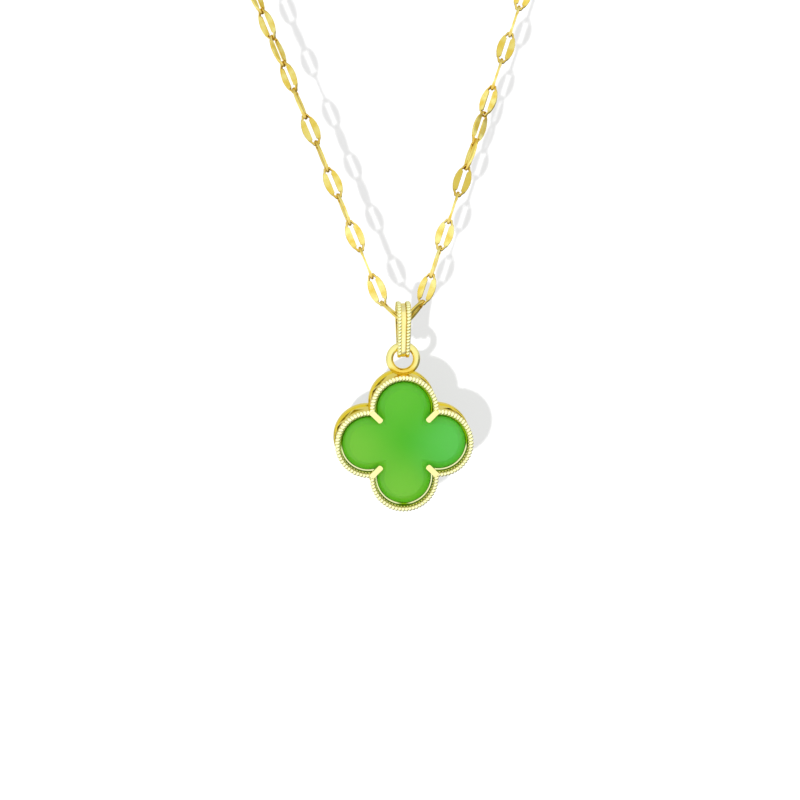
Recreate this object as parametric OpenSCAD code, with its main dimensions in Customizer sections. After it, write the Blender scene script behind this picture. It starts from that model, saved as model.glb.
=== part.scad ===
// A clover pendant on a lip-link chain: gold-coloured metal and a green stone, in the form it has when worn.
// Millimetres, +Z up, the front faces -Y. The origin is the middle of the space for the neck.

/* [Clover setting] */
// From the middle of the clover to the middle of each lobe
lobe_offset = 3.32; // [3.24:0.02:3.4]
// Radius of a lobe at the outside of the rails
lobe_r = 3.18; // [3.12:0.02:3.24]
// Thickness of the wall from the rails' outside to the stone's well
wall_w = 0.43; // [0.4:0.01:0.46]
// Depth of the setting from the flat rim to the back rail
setting_depth = 3.75; // [3.4:0.05:4.2]
// From the flat rim back to the ledge that the stone lies on
seat_depth = 1; // [0.95:0.05:1.1]
// Pierced three-cornered windows in the side of each lobe
windows_per_lobe = 7; // [3:2:7]
// Thickness of the loop's wire
loop_wire = 0.7; // [0.6:0.02:0.74]
// Inside diameter of the loop on top of the clover
loop_bore = 1.86; // [1.8:0.02:2]

/* [Stone] */
// Gap between the stone's edge and the wall of its well
stone_gap = 0.18; // [0.12:0.02:0.24]
// Width of the stone's bevel, seen from the front
bevel_w = 0.7; // [0.4:0.05:0.8]
// Bevel facets round each lobe
facets_per_lobe = 12; // [6:1:16]

/* [Bail] */
// Outside radius of the bail's round top, seen from the side
bail_top_r = 1.63; // [1.58:0.01:1.7]
// Outside radius of the bail's round bottom, seen from the side
bail_foot_r = 1.05; // [1:0.01:1.1]
// Distance between the middles of the bail's two rounds
bail_drop = 2.8; // [2.7:0.05:2.9]
// Thickness of the band
bail_wall = 0.4; // [0.36:0.01:0.4]
// Width of the band at the top
bail_top_w = 1.42; // [1.3:0.02:1.46]
// Width of the band at the bottom
bail_foot_w = 1.1; // [1:0.02:1.16]

/* [Chain] */
// Links on each side of the pendant
links_per_side = 77; // [61:2:85]
// Length of a link
link_l = 3.54; // [3.52:0.02:3.58]
// Width of a link across its two lips
link_w = 1.68; // [1.6:0.02:1.7]
// Thickness of a link, and of the wire at its ends
link_wire = 0.22; // [0.2:0.01:0.22]
// Gap along the chain between two links that pass through each other
link_gap = 0.24; // [0.24:0.01:0.26]
// Lean of each strand from the middle line of the V
strand_angle = 19.5; // [18:0.5:24]
// Lean of the chain back from upright, on the chest
chest_lean = 30; // [24:1:34]
// Lean of the chain back from upright, round the neck
neck_lean = 60; // [50:1:64]

/* [Hidden] */
$fn = 64;
GOLD = "gold";
GREEN = "limegreen";
// Extra length on a cutter, so that it passes the face it cuts
cut = 0.2;

// Where the two lowest links meet, from the origin
vertex = [0, -91, -102];
// The bail turns about a line along X, through this point beside the place where the two lowest links meet
hinge = vertex + [0, 0.42, 0.48];
// Height of the bail's hinge line above the middle of the setting's loop
hinge_to_loop = 3.88;
// Height of the loop's middle above the middle of the clover
loop_to_clover = 7.9;
// How far the loop stands in front of the setting's mid depth, which puts it above the pendant's balance point
loop_z = 0.38;

// Setting, drawn lying on its back: the front is +Z here, and the pendant's top is +Y
well_r = lobe_r - wall_w;
rim_z = setting_depth / 2;
back_z = -setting_depth / 2;
seat_z = rim_z - seat_depth;
ledge_thick = 0.35;
ledge_r = well_r - 0.5;
rail_h = 0.7;
gallery_r = lobe_r - 0.1;
bead_r = 0.15;
window_l = 1.7;
window_h = 1.1;
window_z = seat_z - ledge_thick - 0.05 - window_h / 2;
window_pitch = 22;
// Windows left solid in the middle of the top lobe, where the loop is soldered on
solid_under_loop = 3;
claw_w = 0.52;
claw_tip = 3.05;
claw_root = 4.2;
claw_z = [rim_z - 0.1, rim_z + 0.2];

// Stone, in the same lying position. It hangs just clear of the claws and of the ledge.
stone_r = well_r - stone_gap;
table_z = claw_z[0] - 0.11;
girdle_z = table_z - 0.35;
stone_back_z = seat_z + 0.1;
pavilion_z = seat_z - 0.55;
back_r = ledge_r - 0.2;
pavilion_r = back_r - 0.5;
// Each lobe's edge runs this many degrees to either side of its middle, to the corner between two lobes
lobe_turn = 100;
// Where those corners stand, from both axes, at the girdle, table, back and pavilion
girdle_notch = lobe_offset / 2 + sqrt(stone_r * stone_r - lobe_offset * lobe_offset / 2) / sqrt(2);
table_notch = girdle_notch - 0.8;
back_notch = girdle_notch - 1.2;
pavilion_notch = girdle_notch - 1.5;

// Bail
bail_channel_w = 0.46;
bail_channel_depth = 0.09;

// Chain. v is the distance up the chain's bent sheet from the vertex, and x is sideways.
link_end_r = 0.38;
slot_w = 0.42;
lip_r = 2.6;
lip_half_l = 1.3;
link_pitch = link_l - 2 * link_wire - link_gap;
// Slope up from X of the two lowest links, which dip into the bail, and their rolls, left and right
dip_angle = 49;
dip_roll = [65, 79];
// How far the inner ends of these two links lie past each other, sideways and outward
dip_pass = [-0.28, -0.46];
// The sheet bends back from chest_lean to neck_lean between these two values of v
bend_from = 60;
bend_to = 110;
// Extra roll along each strand, as [link number, degrees]
left_twist = [[2, 20], [4, 0], [8, 0], [10, 45], [20, 45], [22, 90]];
right_twist = [[2, -12], [4, 0], [6, 0], [10, 90]];

// Clasp and its rings, measured along the chain from the hole of the last link on the left
ring_r = 1.2;
ring_wire = 0.38;
eye_hole_r = 0.6;
eye_r = 1.1;
eye_thick = 0.4;
clasp_r = 2.2;
clasp_wire = 0.9;
play = 0.16;
// A piece of the clasp is aimed along the chain's route over this distance to either side
aim_reach = 0.5;
clasp_ring_at = ring_r;
eye_at = 2 * ring_r - ring_wire / 2 - play + eye_hole_r;
clasp_at = eye_at + eye_r + clasp_r - 0.2;
end_ring_at = clasp_at + clasp_r - clasp_wire / 2 - play - ring_wire / 2 + ring_r;
last_hole_at = end_ring_at + ring_r;
// Distance between the chain's two last joints, which the clasp and its rings fill
clasp_span = last_hole_at - 2 * link_end_r + link_gap;

// The route of one side: from the vertex up the dip link, up the straight strand, then round the neck's arc
half_length = links_per_side * link_pitch + clasp_span / 2;
dip_x = link_pitch * cos(dip_angle);
dip_v = link_pitch * sin(dip_angle);
neck_r = (half_length - link_pitch + dip_x / sin(strand_angle))
    / (1 / tan(strand_angle) + (90 + strand_angle) * PI / 180);
neck_v = (neck_r - dip_x * cos(strand_angle)) / sin(strand_angle) + dip_v;
straight_l = neck_r / tan(strand_angle) - dip_x / sin(strand_angle);

// Place on the flat sheet, [x, v, outward], at a distance s along one side beyond its dip link
function route(side, s) = s < straight_l
    ? [side * (dip_x + s * sin(strand_angle)), dip_v + s * cos(strand_angle), 0]
    : let(a = (s - straight_l) / neck_r * 180 / PI - strand_angle)
        [side * neck_r * cos(a), neck_v + neck_r * sin(a), 0];

// Start and end of link k on the flat sheet. Link 1 starts beside the vertex, past its fellow of the other side.
function link_end(side, k) = route(side, (k - 1) * link_pitch);
function dip_start(side) =
    let(aim = side / 2 * [dip_pass[0], 0, dip_pass[1]])
    link_end(side, 1) - link_pitch * unit(link_end(side, 1) - aim);
function link_start(side, k) = k == 1 ? dip_start(side) : link_end(side, k - 1);

// Lean back of the sheet at v, and its height and depth there
bend_r = (bend_to - bend_from) / ((neck_lean - chest_lean) * PI / 180);
function lean(v) = lookup(v, [[bend_from, chest_lean], [bend_to, neck_lean]]);
function sheet_y(v) = min(v, bend_from) * sin(chest_lean)
    + bend_r * (cos(chest_lean) - cos(lean(v))) + max(v - bend_to, 0) * sin(neck_lean);
function sheet_z(v) = min(v, bend_from) * cos(chest_lean)
    + bend_r * (sin(lean(v)) - sin(chest_lean)) + max(v - bend_to, 0) * cos(neck_lean);
function on_sheet(p) = [
    p[0],
    sheet_y(p[1]) - p[2] * cos(lean(p[1])),
    sheet_z(p[1]) + p[2] * sin(lean(p[1]))
];
function unit(a) = a / norm(a);

// Placing matrix of a piece that reaches from a to b on the flat sheet: its Y runs along, its Z faces out
function placing(a, b) =
    let(
        p = on_sheet(a),
        q = on_sheet(b),
        f = lean((a[1] + b[1]) / 2),
        along = unit(q - p),
        across = unit(cross(along, [0, -cos(f), sin(f)])),
        out = cross(across, along),
        middle = (p + q) / 2
    )
    [for (i = [0:2]) [across[i], along[i], out[i], middle[i]]];

// Roll of link k about its own length
function link_roll(side, k, twist) = k == 1
    ? dip_roll[side < 0 ? 0 : 1]
    : side * ((k % 2 == 1 ? 90 : 0) + lookup(k, twist));

module link_outline() {
    end_at = link_l / 2 - link_wire - link_end_r;
    difference() {
        union() {
            for (side = [-1, 1])
                translate([0, side * end_at])
                    circle(r = link_end_r + link_wire);
            intersection() {
                translate([lip_r - link_w / 2, 0])
                    circle(r = lip_r);
                translate([link_w / 2 - lip_r, 0])
                    circle(r = lip_r);
                square([2 * link_w, 2 * lip_half_l], center = true);
            }
        }
        for (side = [-1, 1])
            translate([0, side * end_at])
                circle(r = link_end_r);
        square([slot_w, 2 * end_at], center = true);
    }
}

module link() {
    linear_extrude(link_wire, center = true)
        link_outline();
}

// One side of the chain: side is 1 on the right and -1 on the left
module strand(side, twist) {
    for (k = [1:links_per_side])
        multmatrix(placing(link_start(side, k), link_end(side, k)))
            rotate([0, link_roll(side, k, twist), 0])
                link();
}

module chain() {
    color(GOLD)
        translate(vertex) {
            strand(-1, left_twist);
            strand(1, right_twist);
        }
}

// Places a piece of the clasp at a distance along the chain from the last hole on the left, lying on the sheet
module at_back(distance) {
    s = half_length - link_pitch - last_hole_at / 2 + distance;
    translate(vertex)
        multmatrix(placing(route(-1, s - aim_reach), route(-1, s + aim_reach)))
            children();
}

module small_ring() {
    rotate([0, 90, 0])
        rotate_extrude()
            translate([ring_r, 0])
                circle(d = ring_wire);
}

module clasp_ring() {
    color(GOLD)
        at_back(clasp_ring_at)
            small_ring();
}

module end_ring() {
    color(GOLD)
        at_back(end_ring_at)
            small_ring();
}

module clasp() {
    color(GOLD)
        at_back(clasp_at) {
            rotate_extrude()
                translate([clasp_r, 0])
                    circle(d = clasp_wire);
            translate([0, eye_at - clasp_at, 0])
                difference() {
                    cylinder(r = eye_r, h = eye_thick, center = true);
                    cylinder(r = eye_hole_r, h = eye_thick + cut, center = true);
                }
        }
}

// Side view of the bail at a depth below its outside: two rounds and their tangent sides
module bail_side(depth) {
    top = bail_top_r - depth;
    foot = bail_foot_r - depth;
    tilt = asin((top - foot) / bail_drop);
    circle(r = top);
    translate([0, -bail_drop])
        circle(r = foot);
    polygon([
        [top * cos(tilt), -top * sin(tilt)],
        [-top * cos(tilt), -top * sin(tilt)],
        [-foot * cos(tilt), -foot * sin(tilt) - bail_drop],
        [foot * cos(tilt), -foot * sin(tilt) - bail_drop]
    ]);
}

module bail_band(depth, width) {
    rotate([90, 0, 90])
        linear_extrude(width, center = true)
            difference() {
                bail_side(depth);
                bail_side(bail_wall);
            }
}

module bail() {
    top = bail_top_r + cut;
    foot = -bail_drop - bail_foot_r - cut;
    rail_w = (bail_top_w - bail_channel_w) / 2;
    color(GOLD)
        translate(hinge)
            intersection() {
                union() {
                    bail_band(bail_channel_depth, bail_top_w);
                    for (side = [-1, 1])
                        translate([side * (bail_channel_w + rail_w) / 2, 0, 0])
                            bail_band(0, rail_w);
                }
                rotate([90, 0, 0])
                    linear_extrude(4 * bail_top_r, center = true)
                        polygon([
                            [-bail_top_w / 2, top],
                            [bail_top_w / 2, top],
                            [bail_foot_w / 2, foot],
                            [-bail_foot_w / 2, foot]
                        ]);
            }
}

// Puts a piece of the pendant, drawn lying on its back with the clover's middle at the origin, where it hangs
module hanging() {
    translate(hinge + [0, loop_z, -hinge_to_loop - loop_to_clover])
        rotate([90, 0, 0])
            children();
}

module wall_section() {
    polygon([
        [lobe_r, rim_z],
        [lobe_r, rim_z - rail_h],
        [gallery_r, rim_z - rail_h],
        [gallery_r, back_z + rail_h],
        [lobe_r, back_z + rail_h],
        [lobe_r, back_z],
        [well_r, back_z],
        [well_r, seat_z - ledge_thick],
        [ledge_r, seat_z - ledge_thick],
        [ledge_r, seat_z],
        [well_r, seat_z],
        [well_r, rim_z]
    ]);
    translate([lobe_r - wall_w / 2, rim_z])
        circle(r = bead_r, $fn = 24);
}

// Three-cornered window through the side of a lobe: up is 1 where its point is to the front
module window(up) {
    through = wall_w + 2 * cut;
    translate([0, well_r - cut + through, window_z])
        rotate([90, 0, 0])
            linear_extrude(through)
                polygon(up * window_h / 2 * [[-window_l / window_h, -1], [window_l / window_h, -1], [0, 1]]);
}

// The top lobe's wall, cut off at the diagonals where it meets its neighbours, with some middle windows left solid
module lobe_wall(solid) {
    reach = 2 * lobe_offset + lobe_r;
    middle = (windows_per_lobe - 1) / 2;
    intersection() {
        translate([0, lobe_offset, 0])
            difference() {
                rotate([0, 0, -45])
                    rotate_extrude(angle = 270)
                        wall_section();
                for (i = [-middle:middle])
                    if (abs(i) * 2 >= solid)
                        rotate([0, 0, i * window_pitch])
                            window(i % 2 == 0 ? 1 : -1);
            }
        linear_extrude(2 * setting_depth, center = true)
            polygon([[0, 0], [reach, reach], [-reach, reach]]);
    }
}

module claw() {
    round_r = claw_w / 2;
    translate([0, 0, claw_z[0]])
        linear_extrude(claw_z[1] - claw_z[0]) {
            translate([claw_tip + round_r, -round_r])
                square([claw_root - claw_tip - round_r, claw_w]);
            translate([claw_tip + round_r, 0])
                circle(r = round_r);
        }
}

module setting() {
    color(GOLD)
        hanging() {
            for (quarter = [0:3])
                rotate([0, 0, quarter * 90]) {
                    lobe_wall(quarter == 0 ? solid_under_loop : 0);
                    rotate([0, 0, 45])
                        claw();
                }
            translate([0, loop_to_clover, loop_z])
                rotate_extrude()
                    translate([(loop_bore + loop_wire) / 2, 0])
                        circle(d = loop_wire);
        }
}

// Outline of the stone at lobe radius r, with each inner corner at notch from both axes
function stone_ring(r, notch, z) = [
    for (quarter = [0:3])
        for (i = [0:facets_per_lobe + 1])
            let(
                a = lobe_turn * (1 - 2 * min(i, facets_per_lobe) / facets_per_lobe),
                p = i > facets_per_lobe ? [notch, notch] : [r * sin(-a), lobe_offset + r * cos(a)],
                turn = -90 * quarter
            )
            [p[0] * cos(turn) - p[1] * sin(turn), p[0] * sin(turn) + p[1] * cos(turn), z]
];

module clover_stone() {
    rings = [
        stone_ring(stone_r - bevel_w, table_notch, table_z),
        stone_ring(stone_r, girdle_notch, girdle_z),
        stone_ring(stone_r, girdle_notch, stone_back_z),
        stone_ring(back_r, back_notch, stone_back_z),
        stone_ring(pavilion_r, pavilion_notch, pavilion_z)
    ];
    n = len(rings[0]);
    last = len(rings) - 1;
    color(GREEN)
        hanging()
            polyhedron(
                [for (ring = rings) each ring],
                concat(
                    [[for (i = [0:n - 1]) i]],
                    [for (k = [0:last - 1]) for (i = [0:n - 1])
                        let(a = k * n + i, b = k * n + (i + 1) % n)
                        each [[a, a + n, b + n], [a, b + n, b]]],
                    [[for (i = [n - 1:-1:0]) last * n + i]]
                )
            );
}

setting();
clover_stone();
bail();
chain();
clasp();
clasp_ring();
end_ring();
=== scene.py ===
"""Looks of the clover pendant necklace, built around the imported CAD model.

Everything is in metres in the model's own frame: +Z up, the front of the pendant faces -Y.
Sizes that come from the part's source are given in millimetres and turned into metres in one place.
"""

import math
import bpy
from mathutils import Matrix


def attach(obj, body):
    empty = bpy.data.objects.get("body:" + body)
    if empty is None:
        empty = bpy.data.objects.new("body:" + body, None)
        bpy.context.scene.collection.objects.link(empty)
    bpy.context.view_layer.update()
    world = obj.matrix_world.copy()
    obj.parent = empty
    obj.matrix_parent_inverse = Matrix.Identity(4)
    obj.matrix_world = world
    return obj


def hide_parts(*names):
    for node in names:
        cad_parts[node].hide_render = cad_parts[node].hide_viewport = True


bl_info = {
    "name": "Clover pendant necklace",
    "version": (1, 0, 0),
    "blender": (4, 5, 0),
    "location": "View3D > Sidebar > Pendant",
    "description": "Dresses a clover pendant on a lip-link chain: gold, green stone, beaded rims and links",
    "category": "Object",
}

import bpy
from mathutils import Matrix, Vector

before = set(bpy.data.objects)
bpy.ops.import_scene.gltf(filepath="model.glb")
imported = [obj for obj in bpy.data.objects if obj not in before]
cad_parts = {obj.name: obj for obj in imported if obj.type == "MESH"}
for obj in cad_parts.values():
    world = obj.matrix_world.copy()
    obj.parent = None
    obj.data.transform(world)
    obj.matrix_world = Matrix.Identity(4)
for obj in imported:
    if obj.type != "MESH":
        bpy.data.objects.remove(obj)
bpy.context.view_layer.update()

MM = 0.001

# Sizes that the part's source also has, in millimetres, with angles in degrees
LOBE_OFFSET = 3.32
LOBE_R = 3.18
WALL_W = 0.43
SETTING_DEPTH = 3.75
BAIL_TOP_R = 1.63
BAIL_FOOT_R = 1.05
BAIL_DROP = 2.8
BAIL_TOP_W = 1.42
BAIL_FOOT_W = 1.1
BAIL_CHANNEL_W = 0.46
STONE_FACETS = 12
LOBE_TURN = 100
BEVEL_W = 0.7
SEAT_DEPTH = 1
LINKS_PER_SIDE = 77
LINK_L = 3.54
LINK_W = 1.68
LINK_WIRE = 0.22
LINK_GAP = 0.24
LIP_R = 2.6
STRAND_ANGLE = 19.5
CHEST_LEAN = 30
NECK_LEAN = 60
BEND_FROM = 60
BEND_TO = 110
DIP_ANGLE = 49
DIP_ROLL = (65, 79)
DIP_PASS = (-0.28, -0.46)
LEFT_TWIST = ((2, 20), (4, 0), (8, 0), (10, 45), (20, 45), (22, 90))
RIGHT_TWIST = ((2, -12), (4, 0), (6, 0), (10, 90))
CLASP_SPAN = 7.88
VERTEX = Vector((0, -91, -102))
HINGE = VERTEX + Vector((0, 0.42, 0.48))
HINGE_TO_LOOP = 3.88
LOOP_Z = 0.38
LOOP_TO_CLOVER = 7.9
LOOP_MIDDLE = HINGE + Vector((0, 0, -HINGE_TO_LOOP))
CLOVER = HINGE + Vector((0, LOOP_Z, -HINGE_TO_LOOP - LOOP_TO_CLOVER))
LINK_PITCH = LINK_L - 2 * LINK_WIRE - LINK_GAP

# In the setting drawn lying on its back: radius of the stone's well, and heights of the rim and the seat
WELL_R = LOBE_R - WALL_W
RIM_Z = SETTING_DEPTH / 2
SEAT_Z = RIM_Z - SEAT_DEPTH

# Points of the clover's outline on each lobe
LOBE_POINTS = 54

# How much painted shade each link of a strand gets, standing in for its darker reflection, by its number from
# the bail
LEFT_LINK_SHADE = ((1, 0.5), (2, 0), (4, 0), (6, 0.3), (8, 0.5), (10, 0.2))
RIGHT_LINK_SHADE = ((1, 0.5), (2, 0), (5, 0.1), (6, 0.8), (7, 0), (10, 0.1), (11, 0.5), (12, 0.1))


# The chain's route, as in the part's source: a V on a sheet that leans back, x sideways and v up the sheet

def lookup(k, table):
    """Value at k of a table of (key, value), straight between its keys."""
    if k <= table[0][0]:
        return table[0][1]
    for (a, p), (b, q) in zip(table, table[1:]):
        if k <= b:
            return p + (q - p) * (k - a) / (b - a)
    return table[-1][1]


def lean(v):
    """Lean back of the sheet at v, in radians."""
    return math.radians(lookup(v, ((BEND_FROM, CHEST_LEAN), (BEND_TO, NECK_LEAN))))


def on_sheet(x, v, out):
    """Point in the model's frame of a place on the flat sheet."""
    chest, neck, here = math.radians(CHEST_LEAN), math.radians(NECK_LEAN), lean(v)
    bend_r = (BEND_TO - BEND_FROM) / (neck - chest)
    low, high = min(v, BEND_FROM), max(v - BEND_TO, 0)
    y = low * math.sin(chest) + bend_r * (math.cos(chest) - math.cos(here)) + high * math.sin(neck)
    z = low * math.cos(chest) + bend_r * (math.sin(here) - math.sin(chest)) + high * math.cos(neck)
    return VERTEX + Vector((x, y - out * math.cos(here), z + out * math.sin(here)))


def link_places():
    """Middle and turn of every link, whether it is a lowest one, and how much painted shade it gets, left
    strand first.
    """
    strand = math.radians(STRAND_ANGLE)
    half_length = LINKS_PER_SIDE * LINK_PITCH + CLASP_SPAN / 2
    dip_x = LINK_PITCH * math.cos(math.radians(DIP_ANGLE))
    dip_v = LINK_PITCH * math.sin(math.radians(DIP_ANGLE))
    neck_r = (half_length - LINK_PITCH + dip_x / math.sin(strand)) / (
        1 / math.tan(strand) + math.pi / 2 + strand
    )
    neck_v = (neck_r - dip_x * math.cos(strand)) / math.sin(strand) + dip_v
    straight = neck_r / math.tan(strand) - dip_x / math.sin(strand)

    def route(side, s):
        if s < straight:
            return Vector((side * (dip_x + s * math.sin(strand)), dip_v + s * math.cos(strand), 0))
        a = (s - straight) / neck_r - strand
        return Vector((side * neck_r * math.cos(a), neck_v + neck_r * math.sin(a), 0))

    places = []
    for side, twist, link_shade in ((-1, LEFT_TWIST, LEFT_LINK_SHADE), (1, RIGHT_TWIST, RIGHT_LINK_SHADE)):
        for k in range(1, LINKS_PER_SIDE + 1):
            end = route(side, (k - 1) * LINK_PITCH)
            if k == 1:
                aim = Vector((side * DIP_PASS[0] / 2, 0, side * DIP_PASS[1] / 2))
                start = end - LINK_PITCH * (end - aim).normalized()
                roll = DIP_ROLL[0 if side < 0 else 1]
            else:
                start = route(side, (k - 2) * LINK_PITCH)
                roll = side * ((90 if k % 2 else 0) + lookup(k, twist))
            p, q = on_sheet(*start), on_sheet(*end)
            f = lean((start[1] + end[1]) / 2)
            along = (q - p).normalized()
            across = along.cross(Vector((0, -math.cos(f), math.sin(f)))).normalized()
            out = across.cross(along)
            turn = Matrix((across, along, out)).transposed() @ Matrix.Rotation(math.radians(roll), 3, "Y")
            places.append(((p + q) / 2, turn.to_quaternion(), k == 1, lookup(k, link_shade)))
    return places


# Small helpers

def turned(x, y, degrees):
    """Place of a point turned about the origin."""
    a = math.radians(degrees)
    return x * math.cos(a) - y * math.sin(a), x * math.sin(a) + y * math.cos(a)


def hang(p):
    """Point of the pendant, drawn lying on its back with the front along +Z, where it hangs."""
    return CLOVER + Vector((p[0], -p[2], p[1]))


def tube_faces(rings, n, closed=False, flip=False):
    """Faces between rings of n points, and from the last ring to the first when closed."""
    faces = []
    for i in range(rings if closed else rings - 1):
        here, there = i * n, (i + 1) % rings * n
        for j in range(n):
            face = [here + j, here + (j + 1) % n, there + (j + 1) % n, there + j]
            faces.append(face[:1] + face[:0:-1] if flip else face)
    return faces


def new_object(name, verts, faces, edges=()):
    """Object of a mesh given in millimetres."""
    mesh = bpy.data.meshes.new(name)
    mesh.from_pydata([Vector(v) * MM for v in verts], edges, faces)
    mesh.update()
    obj = bpy.data.objects.new(name, mesh)
    bpy.context.scene.collection.objects.link(obj)
    return obj


def store(obj, name, kind, values):
    """Stores a value of one kind on every point of an object."""
    attribute = obj.data.attributes.new(name, kind, "POINT")
    attribute.data.foreach_set("vector" if kind == "FLOAT_VECTOR" else "value", values)


def smooth(obj, sharp_angle=None):
    """Shades an object smoothly, and keeps edges above the angle in degrees crisp."""
    for face in obj.data.polygons:
        face.use_smooth = True
    if sharp_angle is not None:
        obj.data.set_sharp_from_angle(angle=math.radians(sharp_angle))


def evaluated_mesh(obj):
    """The mesh that an object has after its modifiers."""
    depsgraph = bpy.context.evaluated_depsgraph_get()
    return bpy.data.meshes.new_from_object(obj.evaluated_get(depsgraph), depsgraph=depsgraph)


def baked(source, tree, values, name):
    """The result of a Geometry Nodes tree on a source object, as a plain mesh object. The source goes."""
    modifier = source.modifiers.new("nodes", "NODES")
    modifier.node_group = tree
    sockets = {s.name: s.identifier for s in tree.interface.items_tree if s.item_type == "SOCKET"}
    for key, value in values.items():
        modifier[sockets[key]] = value
    mesh = evaluated_mesh(source)
    mesh.name = name
    obj = bpy.data.objects.new(name, mesh)
    bpy.context.scene.collection.objects.link(obj)
    bpy.data.objects.remove(source)
    return obj


class Nodes:
    """Short way to add and join the nodes of one tree."""

    def __init__(self, tree):
        self.tree = tree
        self.column = 0

    def add(self, kind, inputs=None, **settings):
        """New node with its settings, and with its inputs linked or set to plain values."""
        node = self.tree.nodes.new(kind)
        node.location = (self.column, 0)
        self.column += 200
        for key, value in settings.items():
            setattr(node, key, value)
        for key, value in (inputs or {}).items():
            socket = node.inputs[key]
            if isinstance(value, bpy.types.NodeSocket):
                self.tree.links.new(value, socket)
            else:
                socket.default_value = value
        return node

    def calc(self, operation, *values):
        """Result of a step on numbers."""
        return self.add("ShaderNodeMath", dict(enumerate(values)), operation=operation).outputs[0]

    def vector(self, operation, *vectors):
        """Result of a step on vectors, which is a number for some of the steps."""
        node = self.add("ShaderNodeVectorMath", dict(enumerate(vectors)), operation=operation)
        return node.outputs["Value" if operation in ("DISTANCE", "DOT_PRODUCT") else "Vector"]

    def combine(self, x, y, z):
        """Vector of three numbers."""
        return self.add("ShaderNodeCombineXYZ", {"X": x, "Y": y, "Z": z}).outputs[0]

    def axes(self, vector):
        """The three numbers of a vector, by axis."""
        return self.add("ShaderNodeSeparateXYZ", {0: vector}).outputs

    def ramp(self, value, low, high, least=0.0, most=1.0, kind="LINEAR"):
        """Number that runs from least, where the value is low, to most, where it is high."""
        inputs = {"Value": value, 1: low, 2: high, 3: least, 4: most}
        return self.add("ShaderNodeMapRange", inputs, interpolation_type=kind).outputs[0]

    def mix(self, factor, first, second):
        """Colour that runs from the first to the second as the factor runs from 0 to 1."""
        return self.add("ShaderNodeMix", {0: factor, 6: first, 7: second}, data_type="RGBA").outputs[2]


def geometry_tree(name, sockets):
    """New Geometry Nodes tree with named inputs, the helper for it, and what its inputs give."""
    tree = bpy.data.node_groups.new(name, "GeometryNodeTree")
    tree.interface.new_socket("Geometry", in_out="INPUT", socket_type="NodeSocketGeometry")
    for key, kind in sockets:
        tree.interface.new_socket(key, in_out="INPUT", socket_type=kind)
    tree.interface.new_socket("Geometry", in_out="OUTPUT", socket_type="NodeSocketGeometry")
    nodes = Nodes(tree)
    return tree, nodes, nodes.add("NodeGroupInput").outputs


def finish_tree(nodes, instances, material):
    """Ends a tree in Realize Instances and Set Material."""
    real = nodes.add("GeometryNodeRealizeInstances", {0: instances})
    painted = nodes.add("GeometryNodeSetMaterial", {"Geometry": real.outputs[0], "Material": material})
    nodes.add("NodeGroupOutput", {0: painted.outputs[0]})


# Materials

MADE = {}


def surface_group():
    """Shared shader group: faint cloudy colour change, uneven polish and fine marks of a worked surface."""
    name = "worked_surface"
    if name in bpy.data.node_groups:
        return bpy.data.node_groups[name]
    tree = bpy.data.node_groups.new(name, "ShaderNodeTree")
    for key, kind in (
        ("Pattern Size", "Float"), ("Light Tone", "Color"), ("Deep Tone", "Color"),
        ("Polish", "Float"), ("Unevenness", "Float"), ("Mark Height", "Float"),
    ):
        tree.interface.new_socket(key, in_out="INPUT", socket_type="NodeSocket" + kind)
    for key, kind in (("Color", "Color"), ("Roughness", "Float"), ("Normal", "Vector")):
        tree.interface.new_socket(key, in_out="OUTPUT", socket_type="NodeSocket" + kind)
    cloud_scale, mark_scale, mark_distance = 350.0, 2600.0, 0.02 * MM
    n = Nodes(tree)
    given = n.add("NodeGroupInput").outputs
    place = n.add("ShaderNodeTexCoord").outputs["Object"]
    scaled = n.add(
        "ShaderNodeVectorMath", {0: place, "Scale": given["Pattern Size"]}, operation="SCALE"
    ).outputs[0]
    clouds = n.add("ShaderNodeTexNoise", {"Vector": scaled, "Scale": cloud_scale, "Detail": 3.0})
    cloudy = n.ramp(clouds.outputs["Fac"], 0.35, 0.65)
    colour = n.mix(cloudy, given["Light Tone"], given["Deep Tone"])
    noise = n.add("ShaderNodeTexNoise", {"Vector": scaled, "Scale": mark_scale, "Detail": 4.0})
    marks = noise.outputs["Fac"]
    rough = n.calc("ADD", n.calc("MULTIPLY", marks, given["Unevenness"]), given["Polish"])
    bump = n.add("ShaderNodeBump", {
        "Strength": given["Mark Height"], "Distance": mark_distance, "Height": marks,
    })
    n.add("NodeGroupOutput", {"Color": colour, "Roughness": rough, "Normal": bump.outputs[0]})
    return tree


def set_inputs(shader, values):
    """Sets plain values on a shader node."""
    for key, value in values.items():
        shader.inputs[key].default_value = value


def worked_material(name, light, deep, polish, unevenness, mark_height, pattern=1.0):
    """Material whose colour, roughness and normal come from the shared group, and its shader node."""
    material = bpy.data.materials.new(name)
    material.use_nodes = True
    tree = material.node_tree
    shader = tree.nodes["Principled BSDF"]
    group = Nodes(tree).add("ShaderNodeGroup", {
        "Pattern Size": pattern, "Light Tone": (*light, 1), "Deep Tone": (*deep, 1), "Polish": polish,
        "Unevenness": unevenness, "Mark Height": mark_height,
    }, node_tree=surface_group())
    for output, given in (("Color", "Base Color"), ("Roughness", "Roughness"), ("Normal", "Normal")):
        tree.links.new(group.outputs[output], shader.inputs[given])
    return material, shader


def tint(material, factor, colour):
    """Mixes another colour into a worked material's own, by a factor from 0 to 1."""
    tree = material.node_tree
    base = tree.nodes["Principled BSDF"].inputs["Base Color"]
    tree.links.new(Nodes(tree).mix(factor, base.links[0].from_socket, (*colour, 1)), base)


def tint_stored(material, colour, value="shade"):
    """Mixes in another colour by a value stored on the mesh, which is 0 where a mesh has none."""
    stored = Nodes(material.node_tree).add("ShaderNodeAttribute", attribute_name=value)
    tint(material, stored.outputs["Fac"], colour)


def rise(n, value, low, high, least=0.0):
    """Smooth factor from least, where the value is low millimetres, to 1, where it is high."""
    return n.ramp(value, low * MM, high * MM, least, kind="SMOOTHSTEP")


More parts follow.
